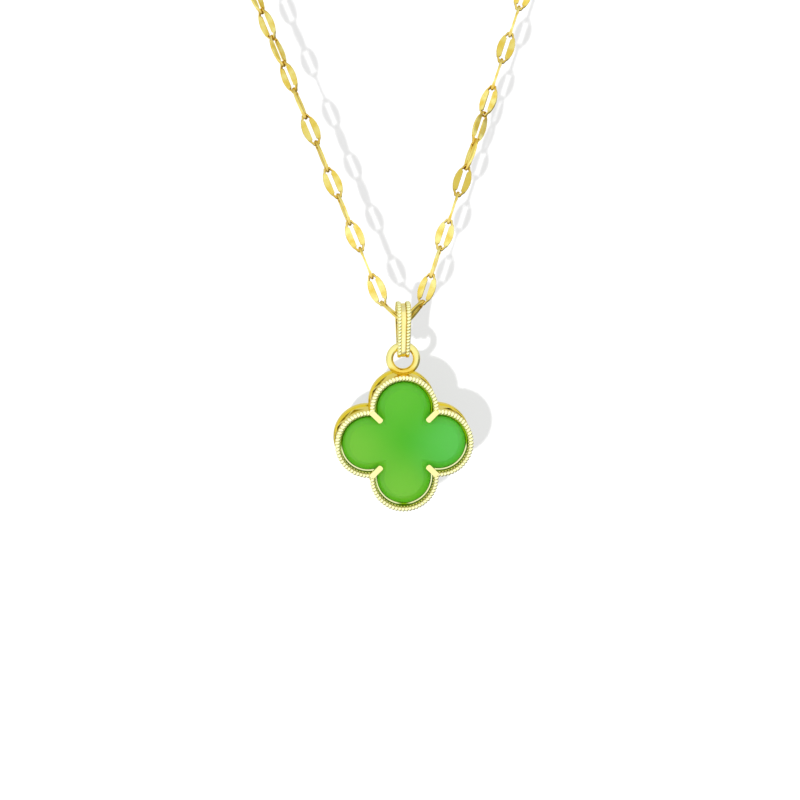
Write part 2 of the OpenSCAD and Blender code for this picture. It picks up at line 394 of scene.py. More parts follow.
def lobe_distance(n, place):
    """Distance from the middle of the nearest lobe, seen from the front, with the clover folded onto one."""
    folded = n.axes(n.vector("ABSOLUTE", n.vector("SUBTRACT", place, tuple(CLOVER * MM))))
    along = n.calc("MAXIMUM", folded["X"], folded["Z"])
    across = n.calc("MINIMUM", folded["X"], folded["Z"])
    return n.vector("DISTANCE", n.combine(along, across, 0), (LOBE_OFFSET * MM, 0, 0))


def made_once(make):
    """Makes a material at the first call and gives the same one back at every later call."""
    def get():
        if make.__name__ not in MADE:
            MADE[make.__name__] = make()
        return MADE[make.__name__]
    return get


def gold(name, light, deep, unevenness=0.12, mark_height=0.05, pattern=1.0):
    """Gold plating, with the roughness that the panel gives."""
    polish = bpy.context.scene.pendant_metal.polish
    material, shader = worked_material(name, light, deep, polish, unevenness, mark_height, pattern)
    set_inputs(shader, {"Metallic": 1.0, "Specular Tint": (1.0, 0.9, 0.5, 1.0)})
    return material


@made_once
def pale_gold():
    """Pale gold of the bail and claws, with painted shade on the walls of the bail's channel, darker on the
    right.
    """
    p = bpy.context.scene.pendant_metal
    material = gold("pale_gold", p.pale_tone, p.pale_deep)
    tint_stored(material, p.joint_shade_tone)
    return material


@made_once
def bead_gold():
    """Bright pale gold, with painted shade between the beads and along the stone in the lower half of the
    rim.
    """
    p = bpy.context.scene.pendant_metal
    material = gold("bead_gold", p.bead_tone, p.bead_tone)
    tint_stored(material, p.groove_shade_tone)
    n = Nodes(material.node_tree)
    place = n.add("ShaderNodeTexCoord").outputs["Object"]
    # Painted shade along the stone in the lower half of the rim, at half the grooves' colour
    inside = rise(n, lobe_distance(n, place), LOBE_R - WALL_W / 2 + 0.05, WELL_R)
    low = rise(n, n.axes(place)["Z"], CLOVER.z, CLOVER.z - 0.8)
    tint(material, n.calc("MULTIPLY", inside, low), [c / 2 for c in p.groove_shade_tone])
    return material


@made_once
def lip_gold():
    """Bright pale gold of the lip round the stone, mixed with the stone's painted reflection where the lip's
    painted shade lies.
    """
    p = bpy.context.scene.pendant_metal
    material = gold("lip_gold", p.bead_tone, p.bead_tone)
    tint_stored(material, p.stone_reflection_tone)
    return material


@made_once
def setting_gold():
    """Pale gold, with painted shade behind the rim and in the loop, and the stone's painted reflection on the
    wall round it.
    """
    p = bpy.context.scene.pendant_metal
    material = gold("setting_gold", p.pale_tone, p.pale_deep)
    n = Nodes(material.node_tree)
    place = n.add("ShaderNodeTexCoord").outputs["Object"]
    depth, height = n.axes(place)["Y"], n.axes(place)["Z"]
    front = hang((0, 0, RIM_Z)).y
    top = CLOVER.z + LOBE_OFFSET + LOBE_R + 0.05
    # Painted shade on the walls behind the rim, half as strong just below the loop
    behind = rise(n, depth, front, front + 0.25)
    below_loop = rise(n, height, top + 0.8, top, 0.5)
    tint(material, n.calc("MULTIPLY", behind, below_loop), p.recess_shade_tone)
    # Painted shade inside the loop and at its foot
    loop_inside = rise(n, n.vector("DISTANCE", place, tuple(LOOP_MIDDLE * MM)), 1.3, 1.0)
    over_rim = rise(n, height, top - 0.3, top)
    loop_foot = n.calc("MULTIPLY", rise(n, height, top + 0.75, top + 0.35), over_rim)
    tint(material, n.calc("MAXIMUM", loop_inside, loop_foot), p.chain_patch_and_shade_tone)
    # Painted reflection of the stone on the wall round it, above the seat
    inside = rise(n, lobe_distance(n, place), WELL_R + 0.04, WELL_R)
    over_seat = rise(n, depth, front + SEAT_DEPTH + 0.2, front + SEAT_DEPTH)
    tint(material, n.calc("MULTIPLY", inside, over_seat), p.stone_reflection_tone)
    return material


@made_once
def chain_gold():
    """Gold of the clasp and its rings."""
    p = bpy.context.scene.pendant_metal
    return gold("chain_gold", p.chain_tone, p.chain_patch_and_shade_tone, unevenness=0.1, mark_height=0.03)


@made_once
def link_gold():
    """Chain gold with painted shade on some whole links, in the joints and on the cut edges."""
    p = bpy.context.scene.pendant_metal
    material = gold("link_gold", p.chain_tone, p.chain_patch_and_shade_tone, unevenness=0.1, mark_height=0.03, pattern=3.0)
    tint_stored(material, p.link_shade_tone, "link_shade")
    tint_stored(material, p.joint_shade_tone)
    return material


@made_once
def stone_green():
    """Green of the stone, a little different on each side, with painted light on the bevel."""
    p = bpy.context.scene.pendant_stone
    material, shader = worked_material(
        "green_stone", p.middle, p.middle, p.polish, unevenness=0.08, mark_height=0.02, pattern=0.8
    )
    n = Nodes(material.node_tree)
    place = n.add("ShaderNodeTexCoord").outputs["Object"]
    # Each side's colour is fullest near one point, given from the clover's middle
    for spot, side in (
        ((-0.6, 0, -5.6), p.warm), ((-5.6, 0, -0.8), p.warm),
        ((5.6, 0, 0), p.cool), ((-1, 0, 5.6), p.top),
    ):
        distance = n.vector("DISTANCE", place, tuple((CLOVER + Vector(spot)) * MM))
        tint(material, rise(n, distance, 6.5, 1.5), side)
    # Painted light on the bevel and on all behind the table
    tint_stored(material, p.edge)
    set_inputs(shader, {
        "IOR": 1.54, "Specular IOR Level": 0.27, "Subsurface Weight": 0.25,
        "Subsurface Radius": (0.3, 1.0, 0.2), "Subsurface Scale": 0.6 * MM,
    })
    return material


def dress(node, material):
    """Gives a CAD node a material and keeps its shape."""
    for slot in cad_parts[node].material_slots:
        slot.material = material


# Shapes

def lobe_point(r, degrees):
    """Point on the top lobe's circle, turned from its top towards -X."""
    x, y = turned(0, r, degrees)
    return x, LOBE_OFFSET + y


def corner(r):
    """How far the corner between two lobes of radius r lies from both of the clover's axes."""
    return LOBE_OFFSET / 2 + math.sqrt(r * r - LOBE_OFFSET**2 / 2) / math.sqrt(2)


def clover_path(r):
    """Closed outline of the clover at lobe radius r, flat, with the top along +Y."""
    reach = math.degrees(math.atan2(corner(r), corner(r) - LOBE_OFFSET))
    return [
        turned(*lobe_point(r, -reach + 2 * reach * i / LOBE_POINTS), 90 * quarter)
        for quarter in range(4) for i in range(LOBE_POINTS)
    ]


def stone_ring(r, notch, z):
    """Ring of the stone at lobe radius r, with the corners between lobes at notch from both axes."""
    lobe = [lobe_point(r, LOBE_TURN - 2 * LOBE_TURN * i / STONE_FACETS) for i in range(STONE_FACETS + 1)]
    return [(*turned(x, y, -90 * quarter), z) for quarter in range(4) for x, y in [*lobe, (notch, notch)]]


def soften(obj, width, sharp_angle):
    """Rounds an object's edges by a width in millimetres, and keeps its sharper ones crisp in the shading."""
    edges = obj.modifiers.new("edges", "BEVEL")
    edges.width = width * MM
    edges.segments = 3
    edges.limit_method = "ANGLE"
    edges.angle_limit = math.radians(8)
    mesh = evaluated_mesh(obj)
    obj.modifiers.clear()
    obj.data = mesh
    smooth(obj, sharp_angle)


def link_mesh(props):
    """One link lying along Y: round wire at the ends, flat lips along the sides. Its "shade" is the painted
    shade in the joints and on the cut edges, from 0 on the flats to 1 inside the end loops."""
    wire, lip_t = props.wire / MM / 2, props.lip_thickness / MM / 2
    slot, ring_r = props.slot / MM / 2, props.end_loop / MM
    reach = props.link_length / MM / 2 - wire - ring_r
    end_angles = (0, 45, 90, 135, 180)
    lip_stations = (1.12, 0.95, 0.5, 0.0, -0.5, -0.95, -1.12)
    lip_end, lip_edge = 1, 0.03
    end_shade, neck_shade, cut_shade = 0.2, 0.1, 0.2
    rows = []
    for end in (1, -1):
        for degrees in end_angles:
            x, y = turned(ring_r, 0, degrees)
            out = math.radians(degrees if end > 0 else degrees + 180)
            rows.append((end * x, end * (reach + y), wire, wire, out, end_shade))
        for y in lip_stations:
            outer = math.sqrt(LIP_R**2 - y * y) - (LIP_R - LINK_W / 2)
            on_lip = abs(y) < lip_end
            inner, thick, shade = (slot, lip_t, 0.0) if on_lip else (outer - 2 * wire, wire, neck_shade)
            out = math.pi if end > 0 else 0
            rows.append((-end * (outer + inner) / 2, end * y, (outer - inner) / 2, thick, out, shade))
    verts, shades = [], []
    for x, y, half_w, half_t, a, shade in rows:
        flat = half_w - (lip_edge if shade == 0 else half_w / 2)
        section = (
            (half_w, 0, 2 * shade), (flat, half_t, shade), (-flat, half_t, 2 * shade),
            (-half_w, 0, 4 * shade + cut_shade), (-flat, -half_t, 2 * shade), (flat, -half_t, shade),
        )
        verts += [(x + w * math.cos(a), y + w * math.sin(a), t) for w, t, _ in section]
        shades += [value for _, _, value in section]
    link = new_object("one_link", verts, tube_faces(len(rows), len(section), closed=True, flip=True))
    store(link, "shade", "FLOAT", shades)
    smooth(link, 65)
    return link


# Settings that a user would change

def tone(name, description, default):
    """Colour setting."""
    return bpy.props.FloatVectorProperty(
        name=name, description=description, subtype="COLOR", size=3, default=default, min=0, max=1,
    )


def roughness(description, default):
    """Setting of a surface's roughness."""
    return bpy.props.FloatProperty(
        name="Roughness", description=description, subtype="FACTOR", default=default, min=0, max=1,
    )


def brightness(name, description, default, most=2):
    """Setting of a light's brightness."""
    return bpy.props.FloatProperty(name=name, description=description, default=default, min=0, max=most)


def length(name, description, default, low, high, precision=5):
    """Length setting, given in millimetres."""
    return bpy.props.FloatProperty(
        name=name, description=description, unit="LENGTH", precision=precision,
        default=default * MM, min=low * MM, max=high * MM,
    )


def angle(name, description, default, low, high):
    """Angle setting, given in degrees."""
    return bpy.props.FloatProperty(
        name=name, description=description, subtype="ANGLE",
        default=math.radians(default), min=math.radians(low), max=math.radians(high),
    )


class PendantMetal(bpy.types.PropertyGroup):
    pale_tone: tone("Pale gold", "Colour of the setting, loop and bail", (0.96, 0.9, 0.45))
    pale_deep: tone("Pale gold, deeper", "Colour of the deeper patches of the pale gold", (0.94, 0.84, 0.34))
    chain_tone: tone("Chain gold", "Colour of the chain and clasp", (0.96, 0.88, 0.33))
    # Random deeper patches of the chain, and painted shade inside the loop
    chain_patch_and_shade_tone: tone("Chain gold, deeper", "Colour of the chain's patches and in the loop", (0.84, 0.62, 0.1))
    # Painted shade on the setting's side walls and inside
    recess_shade_tone: tone("Recess gold", "Colour of the setting's side wall and inside", (0.78, 0.7, 0.17))
    # Painted shade between the beads, and at half this colour along the stone in the rim's lower half
    groove_shade_tone: tone("Groove gold", "Colour between the beads", (0.46, 0.42, 0.03))
    bead_tone: tone("Bead gold", "Colour of the beads and of the lip round the stone", (1.0, 1.0, 0.57))
    # Painted reflection of the stone on the wall round it, and the lip's painted shade
    stone_reflection_tone: tone("Inner gold", "Colour that the stone gives the wall and lip", (0.17, 0.36, 0.002))
    # Painted shade on some whole links, standing in for their darker reflections
    link_shade_tone: tone("Link shade gold", "Colour of the painted shade on some links", (0.55, 0.42, 0.06))
    # Painted shade in the chain's joints, on the links' cut edges and on the bail's channel walls
    joint_shade_tone: tone("Joint gold", "Colour in the chain's joints and the bail's channel", (0.6, 0.28, 0.015))
    polish: roughness("Lowest roughness of the polished metal", 0.07)


class PendantStone(bpy.types.PropertyGroup):
    middle: tone("Middle", "Colour of the middle of the stone", (0.06, 0.47, 0.002))
    warm: tone("Warm side", "Colour of the lower left side of the stone", (0.175, 0.565, 0.03))
    cool: tone("Cool side", "Colour of the right side of the stone", (0.1, 0.57, 0.072))
    top: tone("Top side", "Colour of the top lobe of the stone", (0.115, 0.54, 0.02))
    # Painted light on the stone's bevel
    edge: tone("Edge", "Colour of the stone's bevel, where light gathers", (0.16, 0.78, 0.03))
    polish: roughness("Lowest roughness of the stone", 0.12)


class PendantBeads(bpy.types.PropertyGroup):
    pitch: length("Pitch", "Distance between two beads", 0.32, 0.15, 0.5)
    rim_width: length("Rim bead width", "Width of a bead across the rim", 0.56, 0.2, 0.6)
    slant: angle("Slant", "Slant of the beads, as on a rope", 18, 0, 45)


class PendantChain(bpy.types.PropertyGroup):
    link_length: length("Link length", "Length of a link over its wire", 3.52, 3.45, 3.75)
    wire: length("Wire", "Thickness of the wire at the ends of a link", 0.28, 0.2, 0.3)
    end_loop: length("End loop radius", "Radius of the wire's middle line at the ends", 0.29, 0.28, 0.45)
    lip_thickness: length("Lip thickness", "Thickness of the flat lips", 0.19, 0.1, 0.25)
    slot: length("Slot", "Width of the slot between the lips", 0.36, 0.3, 0.6)


class PendantStage(bpy.types.PropertyGroup):
    main_light: brightness("Main light", "Brightness of the surroundings in front", 1.18)
    low_light: brightness("Light from below", "Brightness of the surroundings right below", 0.45)
    upper_light: brightness("Upper light", "Brightness of the upper surroundings", 0.92)
    high_light: brightness("Light from above", "Brightness of the surroundings right above", 0.75)
    back_light: brightness("Light from behind", "Brightness of the surroundings behind", 0.7)
    side_light: brightness("Light from the sides", "Brightness of the surroundings far to each side", 0.85)
    corner_light: brightness("Lower right light", "Brightness of the surroundings at the lower right", 0.3)
    glow: brightness("Soft box", "Brightness of the soft box that the chain's lips reflect", 1.04, 4)
    backdrop_gap: length("Backdrop gap", "Distance from the chain to the sheet behind it", 8.6, 8.6, 30)
    shadow_right: length("Shadow right", "How far the shadow falls to the right", 1.6, 0, 5)
    shadow_up: length("Shadow up", "How far the shadow falls upwards", 1.73, 0, 5)
    shadow_softness: angle("Shadow softness", "Angle that the shadow light fills", 2, 0, 30)
    azimuth: angle("Camera turn", "Turn of the camera to the right of the front", -4.5, -180, 180)
    elevation: angle("Camera height", "Angle at which the camera looks down", 12.5, -90, 90)
    view_width: length("View width", "Width of the picture at the pendant", 75.8, 10, 1000, 4)


# One operator for each piece or group of like pieces

class PENDANT_OT_metal(bpy.types.Operator):
    """Gives the setting, clasp and rings their gold"""

    bl_idname = "pendant.metal"
    bl_label = "Dress the metal"

    def execute(self, context):
        dress("setting", setting_gold())
        for node in ("clasp", "clasp_ring", "end_ring"):
            dress(node, chain_gold())
        return {"FINISHED"}


class PENDANT_OT_stone(bpy.types.Operator):
    """Cuts the clover stone and gives it its green"""

    bl_idname = "pendant.stone"
    bl_label = "Cut the stone"

    def execute(self, context):
        r, table, back = WELL_R - 0.19, RIM_Z - 0.21, SEAT_Z + 0.1
        girdle = table - 0.3
        # How far in from the girdle each ring's lobes and corners lie, and its height
        rings = [
            stone_ring(r - lobes_in, corner(r) - corners_in, z) for lobes_in, corners_in, z in (
                (BEVEL_W, 0.8, table), (0.04, 0.05, girdle + 0.03), (0, 0, girdle - 0.02),
                (0, 0, back), (0.52, 1.2, back), (1.02, 1.5, SEAT_Z - 0.55),
            )
        ]
        n = len(rings[0])
        verts = [hang(v) for ring in rings for v in ring]
        ends = [list(range(n)), list(range(len(verts) - n, len(verts)))[::-1]]
        stone = new_object("cut_stone", verts, ends + tube_faces(len(rings), n, flip=True))
        # The bevel, and all behind it, get half of the edge's painted light
        bevel_light = 0.5
        store(stone, "shade", "FLOAT", [0.0] * n + [bevel_light] * (len(verts) - n))
        soften(stone, 0.05, 12)
        stone.data.materials.append(stone_green())
        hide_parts("clover_stone")
        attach(stone, "clover")
        return {"FINISHED"}


def bead_tree():
    """Beads set along a path: long across it, slanted, and as wide as the path's width value asks. Their
    "shade" is painted shade: most in the grooves between them and towards the path's inside."""
    tree, n, given = geometry_tree("beads_along_path", (
        *((key, "NodeSocketFloat") for key in ("Pitch", "Width", "Height", "Slant")),
        ("Material", "NodeSocketMaterial"),
    ))
    curve = n.add("GeometryNodeMeshToCurve", {"Mesh": given["Geometry"]})
    even = n.add("GeometryNodeResampleCurve", {
        "Curve": curve.outputs[0], "Length": given["Pitch"],
    }, mode="LENGTH")
    tangent = n.add("GeometryNodeInputTangent").outputs[0]
    out = n.add("GeometryNodeInputNamedAttribute", {"Name": "outward"}, data_type="FLOAT_VECTOR").outputs[0]
    width = n.add("GeometryNodeInputNamedAttribute", {"Name": "width"}, data_type="FLOAT").outputs[0]
    along = n.add("FunctionNodeAlignRotationToVector", {"Vector": tangent}, axis="Y").outputs[0]
    up = n.add(
        "FunctionNodeAlignRotationToVector", {"Rotation": along, "Vector": out}, axis="Z", pivot_axis="Y"
    ).outputs[0]
    turn = n.add(
        "FunctionNodeRotateRotation", {0: up, 1: n.combine(0, 0, given["Slant"])}, rotation_space="LOCAL"
    ).outputs[0]
    overlap = n.calc("MULTIPLY", given["Pitch"], 1.25)

    # A ball 1 across, where X lies across the path and Y along it
    ball = n.add("GeometryNodeMeshUVSphere", {"Segments": 8, "Rings": 6, "Radius": 0.5})
    rounded = n.add("GeometryNodeSetShadeSmooth", {0: ball.outputs[0]})
    x, y, _ = n.axes(n.add("GeometryNodeInputPosition").outputs[0])
    # Painted shade in the grooves between beads and on their inner side, fading on their outer side
    groove = n.ramp(n.calc("ABSOLUTE", y), 0.24, 0.4, most=0.55)
    inner = n.ramp(x, -0.2, -0.45, most=0.9)
    fade = n.ramp(x, -0.15, 0.3, 1.0, 0.3)
    shade = n.calc("MAXIMUM", n.calc("MULTIPLY", groove, fade), inner)
    marked = n.add("GeometryNodeStoreNamedAttribute", {
        "Geometry": rounded.outputs[0], "Name": "shade", "Value": shade,
    }, data_type="FLOAT", domain="POINT")
    size = n.combine(given["Width"], overlap, given["Height"])
    bead = n.add("GeometryNodeTransform", {0: marked.outputs[0], "Scale": size})
    row = n.add("GeometryNodeInstanceOnPoints", {
        "Points": even.outputs[0], "Instance": bead.outputs[0], "Rotation": turn,
        "Scale": n.combine(width, 1, 1),
    })
    finish_tree(n, row.outputs[0], given["Material"])
    return tree


def bail_route(foot_from):
    """Stations of the bail from the front of its foot over the top to the back: height of the round's middle,
    its radius and the direction that the band faces there. foot_from is the first direction, in degrees."""
    foot_steps, top_steps = 8, 48
    tilt = -math.asin((BAIL_TOP_R - BAIL_FOOT_R) / BAIL_DROP)
    start = math.radians(foot_from)
    front = [
        (-BAIL_DROP, BAIL_FOOT_R, start + (tilt - start) * i / foot_steps) for i in range(foot_steps + 1)
    ]
    side = [
        (-BAIL_DROP * (1 - t), BAIL_FOOT_R + (BAIL_TOP_R - BAIL_FOOT_R) * t, tilt) for t in (0.25, 0.5, 0.75)
    ]
    half = front + side
    top = [(0, BAIL_TOP_R, tilt + (math.pi - 2 * tilt) * i / top_steps) for i in range(top_steps + 1)]
    return half + top + [(m, r, math.pi - a) for m, r, a in reversed(half)]


def bail_point(middle, r, a, depth):
    """Place of a station, back and up from the hinge, at a depth below the outside of the band."""
    return -(r - depth) * math.cos(a), middle + (r - depth) * math.sin(a)


def bail_width(z):
    """Width of the tapered band at a height above the hinge."""
    top, foot = BAIL_TOP_R + 0.2, -BAIL_DROP - BAIL_FOOT_R - 0.2
    return BAIL_FOOT_W + (BAIL_TOP_W - BAIL_FOOT_W) * (z - foot) / (top - foot)


class PENDANT_OT_bail(bpy.types.Operator):
    """Bends the bail's band into its tapered loop, with a polished channel between two low rails"""

    bl_idname = "pendant.bail"
    bl_label = "Bend the bail"

    def execute(self, context):
        half = BAIL_CHANNEL_W / 2
        rail, channel, inside = 0.1, 0.17, 0.4
        cut, slope = 0.05, 0.03
        left, right = 0.2, 0.9
        verts, shades = [], []
        route = bail_route(-90)[:-1]
        for middle, r, a in route:
            edge = bail_width(bail_point(middle, r, a, rail)[1]) / 2
            # Way across the band, depth below its outside, and the painted shade on the channel's walls
            section = (
                (-edge, rail + cut, 0), (cut - edge, rail, 0), (-half - slope, rail, left),
                (-half, channel + 0.02, left), (-half / 2, channel, 0), (half / 2, channel, 0),
                (half, channel + 0.02, right), (half + slope, rail, right), (edge - cut, rail, 0),
                (edge, rail + cut, 0), (edge, inside - 0.04, 0), (edge - cut, inside, 0),
                (cut - edge, inside, 0), (-edge, inside - 0.04, 0),
            )
            verts += [HINGE + Vector((x, *bail_point(middle, r, a, depth))) for x, depth, _ in section]
            shades += [shade for _, _, shade in section]
        band = new_object("bail_loop", verts, tube_faces(len(route), len(section), closed=True))
        store(band, "shade", "FLOAT", shades)
        smooth(band, 25)
        band.data.materials.append(pale_gold())
        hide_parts("bail")
        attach(band, "bail_band")
        return {"FINISHED"}


def path_object(name, points, outward, widths, edges):
    """Path for beads, given in millimetres, with the direction that each bead faces and its width."""
    obj = new_object(name, points, [], edges)
    store(obj, "outward", "FLOAT_VECTOR", [c for v in outward for c in v])
    store(obj, "width", "FLOAT", widths)
    return obj


def seat_line():
    """Thin polished lip round the stone, sloping forward from its inner to its outer edge. Its "shade" is
    painted shade in the stone's painted reflection, least in the lower half, on both sides of the middle,
    where the lip has a painted highlight."""
    inner, outer = clover_path(WELL_R - 0.17), clover_path(WELL_R - 0.05)
    middle, half = RIM_Z - 0.52, 0.055
    rows = ((inner, middle - half), (inner, middle), (outer, middle + half), (outer, middle - half))
    verts = [hang((x, y, z)) for path, z in rows for x, y in path]
    line = new_object("seat_line", verts, tube_faces(len(rows), len(inner)))
    # Painted highlight on the lip in its lower half, away from the middle line
    lit, fade = 0.72, 0.4
    shades = []
    for x, y in inner:
        below = min(max((-y - 0.15) / fade, 0), 1)
        beside = min(max((abs(x) - 0.3) / fade, 0), 1)
        shades.append(1 - lit * below * beside)
    store(line, "shade", "FLOAT", shades * len(rows))
    return line


class PENDANT_OT_beads(bpy.types.Operator):
    """Sets the beaded edges on the clover's rim and on the bail, and the lip round the stone"""

    bl_idname = "pendant.beads"
    bl_label = "Bead the rim and bail"

    def execute(self, context):
        p = context.scene.pendant_beads
        tree = bead_tree()
        rim_height, bail_bead_w, bail_bead_h = 0.24, 0.53, 0.3
        flat = clover_path(LOBE_R - WALL_W / 2 + 0.06)
        n = len(flat)
        path = path_object(
            "rim_path", [hang((x, y, RIM_Z + 0.1)) for x, y in flat], [(0, -1, 0)] * n, [1.0] * n,
            [(i, (i + 1) % n) for i in range(n)],
        )
        rim = baked(path, tree, {
            "Pitch": p.pitch, "Width": p.rim_width, "Height": rim_height * MM, "Slant": p.slant,
            "Material": bead_gold(),
        }, "rim_beads")
        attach(rim, "clover")

        seat = seat_line()
        seat.data.materials.append(lip_gold())
        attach(seat, "clover")

        widest = (BAIL_TOP_W - BAIL_CHANNEL_W) / 2
        verts, outward, widths, edges = [], [], [], []
        for side in (-1, 1):
            start = len(verts)
            for middle, r, a in bail_route(-25):
                y, z = bail_point(middle, r, a, 0.11)
                rail = (bail_width(z) - BAIL_CHANNEL_W) / 2
                verts.append(HINGE + Vector((side * ((BAIL_CHANNEL_W + rail) / 2 - 0.02), y, z)))
                outward.append((0, -math.cos(a), math.sin(a)))
                widths.append(rail / widest)
            edges += [(i, i + 1) for i in range(start, len(verts) - 1)]
        path = path_object("bail_path", verts, outward, widths, edges)
        beads = baked(path, tree, {
            "Pitch": p.pitch, "Width": bail_bead_w * MM, "Height": bail_bead_h * MM, "Slant": 1.5 * p.slant,
            "Material": bead_gold(),
        }, "bail_beads")
        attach(beads, "bail_band")
        return {"FINISHED"}


class PENDANT_OT_claws(bpy.types.Operator):
    """Rounds the four claws that hold the stone"""

    bl_idname = "pendant.claws"
    bl_label = "Round the claws"

    def execute(self, context):
        tip, root, half_w, tip_steps = 3.03, 4.45, 0.275, 8
        low, high = RIM_Z - 0.12, RIM_Z + 0.32
        nose = 0.6 * half_w
        outline = [(root, -half_w), (root, half_w)]
        for i in range(tip_steps + 1):
            a = math.radians(90 + 180 * i / tip_steps)
            outline.append((tip + nose + nose * math.cos(a), half_w * math.sin(a)))
        n = len(outline)
        one_claw = [list(range(n))[::-1], list(range(n, 2 * n)), *tube_faces(2, n)]
        verts, faces = [], []
        for quarter in range(4):
            faces += [[len(verts) + i for i in face] for face in one_claw]
            for z in (low, high):
                verts += [hang((*turned(x, y, 45 + 90 * quarter), z)) for x, y in outline]
        claws = new_object("claws", verts, faces)
        soften(claws, 0.13, 50)
        claws.data.materials.append(pale_gold())
        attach(claws, "clover")
        return {"FINISHED"}


class PENDANT_OT_chain(bpy.types.Operator):
    """Makes the lip links of the chain where the part's own links are"""

    bl_idname = "pendant.chain"
    bl_label = "Make the chain"

    def execute(self, context):
        p = context.scene.pendant_chain
        tree, n, given = geometry_tree("links_on_places", (
            ("Link", "NodeSocketObject"), ("Lowest Link Length", "NodeSocketFloat"),
        ))
        link = n.add("GeometryNodeObjectInfo", {"Object": given["Link"]})
        turned_by = n.add("GeometryNodeInputNamedAttribute", {"Name": "turn"}, data_type="QUATERNION")
        is_lowest = n.add("GeometryNodeInputNamedAttribute", {"Name": "lowest"}, data_type="FLOAT")
        stretch = n.add("ShaderNodeMix", {
            0: is_lowest.outputs[0], 2: 1.0, 3: given["Lowest Link Length"],
        }).outputs[0]
        row = n.add("GeometryNodeInstanceOnPoints", {
            "Points": given["Geometry"], "Instance": link.outputs["Geometry"],
            "Rotation": turned_by.outputs[0], "Scale": n.combine(1, stretch, 1),
        })
        finish_tree(n, row.outputs[0], link_gold())

        middles, turns, lowest, link_shade = zip(*link_places())
        points = new_object("link_places", middles, [])
        store(points, "turn", "QUATERNION", [c for turn in turns for c in turn])
        store(points, "lowest", "FLOAT", [float(value) for value in lowest])
        # Painted shade of each link, standing in for its darker reflection
        store(points, "link_shade", "FLOAT", link_shade)
        one = link_mesh(p)
        chain = baked(points, tree, {
            "Link": one, "Lowest Link Length": LINK_L * MM / p.link_length,
        }, "lip_links")
        bpy.data.objects.remove(one)
        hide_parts("chain")
        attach(chain, "necklace")
        return {"FINISHED"}


def camera_turn(p):
    """Turn of the camera, and the directions from the pendant towards it, to its right and up."""
    out = Vector((
        math.sin(p.azimuth) * math.cos(p.elevation),
        -math.cos(p.azimuth) * math.cos(p.elevation),
        math.sin(p.elevation),
    ))
    turn = out.to_track_quat("Z", "Y")
    return turn, out, turn @ Vector((1, 0, 0)), turn @ Vector((0, 1, 0))


def add_camera(scene, p):
    """Camera that sees the pendant as the photo does."""
    # Where the middle of the rim is in the photo, in its pixels from its middle
    photo_width, rim_right, rim_low = 800, 4.3, 43.6
    turn, out, right, up = camera_turn(p)
    pixel = p.view_width / photo_width
    aim = hang((0, 0, RIM_Z)) * MM - right * rim_right * pixel + up * rim_low * pixel
    distance, sensor = 0.6, 36
    data = bpy.data.cameras.new("camera")
    data.sensor_width = sensor
    data.lens = sensor * distance / p.view_width
    data.clip_start = 0.01
    camera = bpy.data.objects.new("camera", data)
    camera.location = aim + out * distance
    camera.rotation_euler = turn.to_euler()
    scene.collection.objects.link(camera)
    scene.camera = camera


def make_backdrop(p):
    """Pale sheet: a floor, a curl up to a short wall, then along the chain at the gap. It is clear from
    behind, casts no shadow and shows in no reflection."""
    gap = p.backdrop_gap / MM
    wall_y = CLOVER.y + gap
    near_y, floor_z, curl, half_w = -700, -165, 14, 400
    profile = [(near_y, floor_z), (wall_y - curl, floor_z)]
    for degrees in range(10, 91, 10):
        y, z = turned(0, -curl, degrees)
        profile.append((wall_y - curl + y, floor_z + curl + z))
    wall_v = (wall_y - on_sheet(0, 0, -gap).y) / math.sin(math.radians(CHEST_LEAN))
    profile += [on_sheet(0, wall_v + s, -gap).yz for s in (0, 2, 10, 30, *range(60, 220, 5))]
    verts = [(side * half_w, y, z) for y, z in profile for side in (-1, 1)]
    faces = [(2 * i, 2 * i + 1, 2 * i + 3, 2 * i + 2) for i in range(len(profile) - 1)]
    sheet = new_object("backdrop", verts, faces)
    smooth(sheet)
    paper = bpy.data.materials.new("white_paper")
    paper.use_nodes = True
    tree = paper.node_tree
    shader = tree.nodes["Principled BSDF"]
    set_inputs(shader, {
        "Base Color": (0.2, 0.2, 0.2, 1), "Roughness": 1.0, "Specular IOR Level": 0.0,
        "Emission Color": (1, 1, 1, 1), "Emission Strength": 0.605,
    })
    n = Nodes(tree)
    clear = n.add("ShaderNodeBsdfTransparent").outputs[0]
    back = n.add("ShaderNodeNewGeometry").outputs["Backfacing"]
    mix = n.add("ShaderNodeMixShader", {0: back, 1: shader.outputs[0], 2: clear})
    tree.links.new(mix.outputs[0], tree.nodes["Material Output"].inputs["Surface"])
    sheet.data.materials.append(paper)
    sheet.visible_shadow = False
    sheet.visible_glossy = False
    return sheet


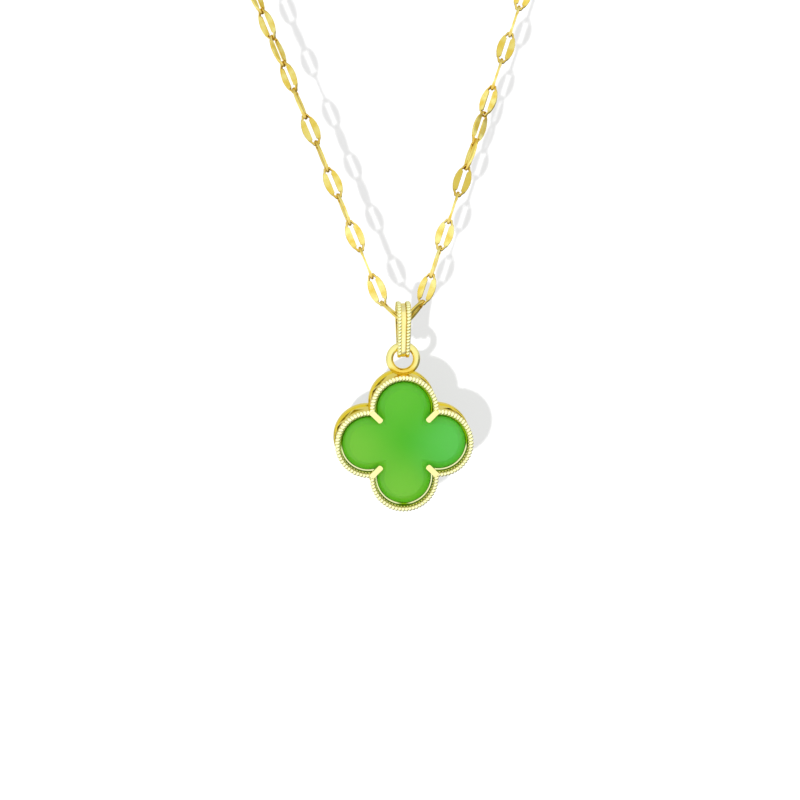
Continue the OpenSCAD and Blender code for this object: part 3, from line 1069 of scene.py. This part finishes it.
def light_surroundings(scene, p):
    """White surroundings that light the part, brighter or darker towards some sides."""
    world = bpy.data.worlds.new("studio")
    scene.world = world
    world.use_nodes = True
    n = Nodes(world.node_tree)
    way = n.add("ShaderNodeTexCoord").outputs["Generated"]
    x, y, z = n.axes(way)
    lower_right = n.vector("DOT_PRODUCT", way, (0.68, 0, -0.73))
    soft_box = n.vector("DOT_PRODUCT", way, (0.076, -0.674, 0.735))
    level = p.main_light
    for value, plain_at, full_at, factor in (
        (z, -0.6, -1.0, p.low_light),
        (z, 0.35, 0.6, p.upper_light),
        (z, 0.82, 1.0, p.high_light),
        (y, 0.1, 0.5, p.back_light),
        (n.calc("ABSOLUTE", x), 0.75, 0.95, p.side_light),
        (lower_right, 0.5, 0.85, p.corner_light),
        (soft_box, 0.93, 0.985, p.glow),
    ):
        part = n.ramp(value, plain_at, full_at, 1.0, factor, kind="SMOOTHSTEP")
        level = n.calc("MULTIPLY", level, part)
    background = world.node_tree.nodes["Background"]
    set_inputs(background, {"Color": (1, 1, 1, 1)})
    world.node_tree.links.new(level, background.inputs["Strength"])


def light_shadow(scene, p, sheet):
    """Lamp that lights only the sheet, and so casts the necklace's shadow on it."""
    _, out, right, up = camera_turn(p)
    slope = (right * p.shadow_right + up * p.shadow_up) / p.backdrop_gap
    light = bpy.data.lights.new("shadow_light", "SUN")
    light.energy = 7.0
    light.angle = p.shadow_softness
    lamp = bpy.data.objects.new("shadow_light", light)
    lamp.rotation_euler = (out - slope).to_track_quat("Z", "Y").to_euler()
    scene.collection.objects.link(lamp)
    only = bpy.data.collections.new("lit_by_shadow_light")
    only.objects.link(sheet)
    lamp.light_linking.receiver_collection = only


class PENDANT_OT_stage(bpy.types.Operator):
    """Sets the camera, the pale sheet behind the necklace and the lights"""

    bl_idname = "pendant.stage"
    bl_label = "Set the stage"

    def execute(self, context):
        p = context.scene.pendant_stage
        scene = context.scene
        scene.view_settings.view_transform = "Standard"
        add_camera(scene, p)
        sheet = make_backdrop(p)
        light_surroundings(scene, p)
        light_shadow(scene, p, sheet)
        return {"FINISHED"}


class PENDANT_PT_panel(bpy.types.Panel):
    bl_label = "Clover pendant"
    bl_idname = "PENDANT_PT_panel"
    bl_space_type = "VIEW_3D"
    bl_region_type = "UI"
    bl_category = "Pendant"

    def draw(self, context):
        for group, _ in GROUPS:
            box = self.layout.box()
            settings = getattr(context.scene, group)
            for key in settings.bl_rna.properties.keys():
                if key not in ("rna_type", "name"):
                    box.prop(settings, key)
        for operator in OPERATORS:
            self.layout.operator(operator.bl_idname)


GROUPS = (
    ("pendant_metal", PendantMetal),
    ("pendant_stone", PendantStone),
    ("pendant_beads", PendantBeads),
    ("pendant_chain", PendantChain),
    ("pendant_stage", PendantStage),
)
OPERATORS = (
    PENDANT_OT_stage, PENDANT_OT_metal, PENDANT_OT_stone, PENDANT_OT_bail, PENDANT_OT_beads,
    PENDANT_OT_claws, PENDANT_OT_chain,
)


def register():
    for _, group in GROUPS:
        bpy.utils.register_class(group)
    for name, group in GROUPS:
        setattr(bpy.types.Scene, name, bpy.props.PointerProperty(type=group))
    for operator in OPERATORS:
        bpy.utils.register_class(operator)
    bpy.utils.register_class(PENDANT_PT_panel)


def unregister():
    bpy.utils.unregister_class(PENDANT_PT_panel)
    for operator in reversed(OPERATORS):
        bpy.utils.unregister_class(operator)
    for name, group in reversed(GROUPS):
        delattr(bpy.types.Scene, name)
        bpy.utils.unregister_class(group)


def main():
    register()
    bpy.ops.pendant.stage()
    bpy.ops.pendant.metal()
    bpy.ops.pendant.stone()
    bpy.ops.pendant.bail()
    bpy.ops.pendant.beads()
    bpy.ops.pendant.claws()
    bpy.ops.pendant.chain()


if __name__ == "__main__":
    main()
